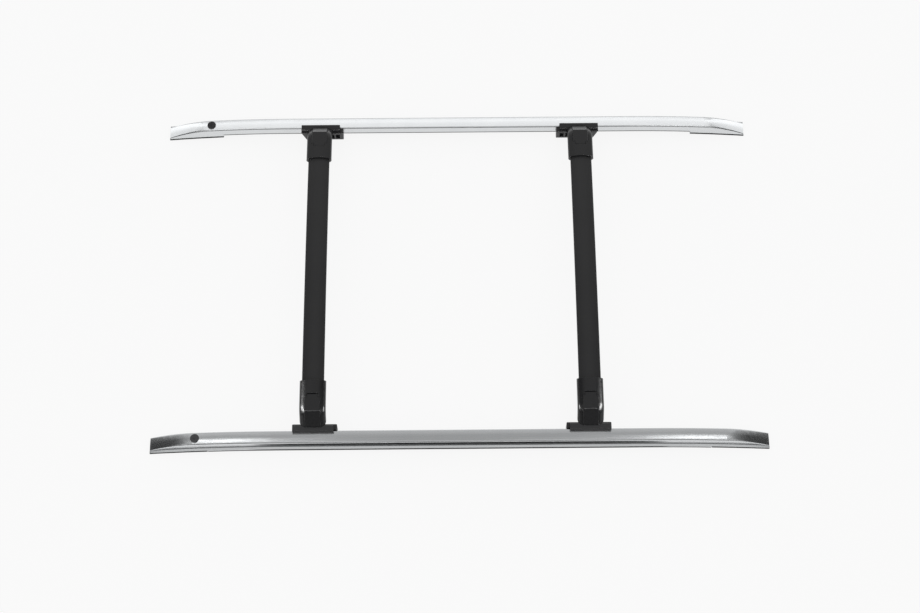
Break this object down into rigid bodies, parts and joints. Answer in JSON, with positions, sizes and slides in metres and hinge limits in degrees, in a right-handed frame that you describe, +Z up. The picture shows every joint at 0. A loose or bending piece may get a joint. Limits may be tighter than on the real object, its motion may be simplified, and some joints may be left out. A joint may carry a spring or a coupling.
{
  "type": "vehicle roof rails with crossbars",
  "caption": "Raised aluminium roof rails joined by black oval crossbars, whose clamping feet hook under the rails and carry a load over a vehicle roof.",
  "frame": {"origin": "under the middle of the set, at the level of the lowest edges of the rails' end pads", "axes": "+X along the rails to the rear, +Y across the roof to the right-hand rail, +Z up"},
  "size_m": [1.9024, 1.1492, 0.1364],
  "materials": {
    "rail_aluminium": "satin anodised",
    "gasket_rubber": "matte moulded",
    "plug_rubber": "fine matte",
    "insert_steel": "zinc plated",
    "bar_paint": "black satin powder coat",
    "foot_plastic": "semi-gloss moulded",
    "cover_plastic": "semi-gloss moulded",
    "saddle_metal": "black coated casting",
    "jaw_plastic": "fine moulded grain",
    "bolt_steel": "zinc plated"
  },
  "bodies": {
    "rails": {"left_rail": "rail_aluminium", "left_rail_gasket": "gasket_rubber", "left_rail_front_pad": "gasket_rubber", "left_rail_rear_pad": "gasket_rubber", "left_rail_plug": "plug_rubber", "left_rail_inserts": "insert_steel", "right_rail": "rail_aluminium", "right_rail_gasket": "gasket_rubber", "right_rail_front_pad": "gasket_rubber", "right_rail_rear_pad": "gasket_rubber", "right_rail_plug": "plug_rubber", "right_rail_inserts": "insert_steel"},
    "front_bar": {"front_crossbar": "bar_paint", "front_left_foot": "foot_plastic", "front_left_saddle": "saddle_metal", "front_left_saddle_pad": "gasket_rubber", "front_left_foot_screws": "bolt_steel", "front_right_foot": "foot_plastic", "front_right_saddle": "saddle_metal", "front_right_saddle_pad": "gasket_rubber", "front_right_foot_screws": "bolt_steel"},
    "front_left_flap": {"front_left_cover": "cover_plastic"},
    "front_left_clamp": {"front_left_jaw": "jaw_plastic", "front_left_clamp_nut": "bolt_steel"},
    "front_left_bolt": {"front_left_clamp_bolt": "bolt_steel"},
    "front_right_flap": {"front_right_cover": "cover_plastic"},
    "front_right_clamp": {"front_right_jaw": "jaw_plastic", "front_right_clamp_nut": "bolt_steel"},
    "front_right_bolt": {"front_right_clamp_bolt": "bolt_steel"},
    "rear_bar": {"rear_crossbar": "bar_paint", "rear_left_foot": "foot_plastic", "rear_left_saddle": "saddle_metal", "rear_left_saddle_pad": "gasket_rubber", "rear_left_foot_screws": "bolt_steel", "rear_right_foot": "foot_plastic", "rear_right_saddle": "saddle_metal", "rear_right_saddle_pad": "gasket_rubber", "rear_right_foot_screws": "bolt_steel"},
    "rear_left_flap": {"rear_left_cover": "cover_plastic"},
    "rear_left_clamp": {"rear_left_jaw": "jaw_plastic", "rear_left_clamp_nut": "bolt_steel"},
    "rear_left_bolt": {"rear_left_clamp_bolt": "bolt_steel"},
    "rear_right_flap": {"rear_right_cover": "cover_plastic"},
    "rear_right_clamp": {"rear_right_jaw": "jaw_plastic", "rear_right_clamp_nut": "bolt_steel"},
    "rear_right_bolt": {"rear_right_clamp_bolt": "bolt_steel"}
  },
  "joints": [
    {"name": "front_bar_slide", "type": "slide", "parent": "rails", "child": "front_bar", "axis": [1, 0, 0], "range_m": [-0.055, 0.3]},
    {"name": "front_left_cover_hinge", "type": "hinge", "parent": "front_bar", "child": "front_left_flap", "pos_m": [-0.447, -0.43162, 0.12499], "axis": [-1, 0, 0], "range_deg": [0, 95]},
    {"name": "front_left_bolt_turn", "type": "hinge", "parent": "front_bar", "child": "front_left_bolt", "pos_m": [-0.447, -0.5155, 0.07344], "axis": [0, 0, 1], "range_deg": [0, 1440]},
    {"name": "front_left_jaw_travel", "type": "slide", "parent": "front_bar", "child": "front_left_clamp", "axis": [0, 0, -1], "range_m": [0, 0.004]},
    {"name": "front_right_cover_hinge", "type": "hinge", "parent": "front_bar", "child": "front_right_flap", "pos_m": [-0.447, 0.43162, 0.12499], "axis": [1, 0, 0], "range_deg": [0, 95]},
    {"name": "front_right_bolt_turn", "type": "hinge", "parent": "front_bar", "child": "front_right_bolt", "pos_m": [-0.447, 0.5155, 0.07344], "axis": [0, 0, 1], "range_deg": [0, 1440]},
    {"name": "front_right_jaw_travel", "type": "slide", "parent": "front_bar", "child": "front_right_clamp", "axis": [0, 0, -1], "range_m": [0, 0.004]},
    {"name": "rear_bar_slide", "type": "slide", "parent": "rails", "child": "rear_bar", "axis": [1, 0, 0], "range_m": [-0.3, 0.1]},
    {"name": "rear_left_cover_hinge", "type": "hinge", "parent": "rear_bar", "child": "rear_left_flap", "pos_m": [0.4, -0.43162, 0.12499], "axis": [-1, 0, 0], "range_deg": [0, 95]},
    {"name": "rear_left_bolt_turn", "type": "hinge", "parent": "rear_bar", "child": "rear_left_bolt", "pos_m": [0.4, -0.5155, 0.07344], "axis": [0, 0, 1], "range_deg": [0, 1440]},
    {"name": "rear_left_jaw_travel", "type": "slide", "parent": "rear_bar", "child": "rear_left_clamp", "axis": [0, 0, -1], "range_m": [0, 0.004]},
    {"name": "rear_right_cover_hinge", "type": "hinge", "parent": "rear_bar", "child": "rear_right_flap", "pos_m": [0.4, 0.43162, 0.12499], "axis": [1, 0, 0], "range_deg": [0, 95]},
    {"name": "rear_right_bolt_turn", "type": "hinge", "parent": "rear_bar", "child": "rear_right_bolt", "pos_m": [0.4, 0.5155, 0.07344], "axis": [0, 0, 1], "range_deg": [0, 1440]},
    {"name": "rear_right_jaw_travel", "type": "slide", "parent": "rear_bar", "child": "rear_right_clamp", "axis": [0, 0, -1], "range_m": [0, 0.004]}
  ],
  "couplings": [
    {"joint": "front_left_bolt_turn", "follows": "front_left_jaw_travel", "rad_per_m": 6283.2},
    {"joint": "front_right_bolt_turn", "follows": "front_right_jaw_travel", "rad_per_m": 6283.2},
    {"joint": "rear_left_bolt_turn", "follows": "rear_left_jaw_travel", "rad_per_m": 6283.2},
    {"joint": "rear_right_bolt_turn", "follows": "rear_right_jaw_travel", "rad_per_m": 6283.2}
  ]
}
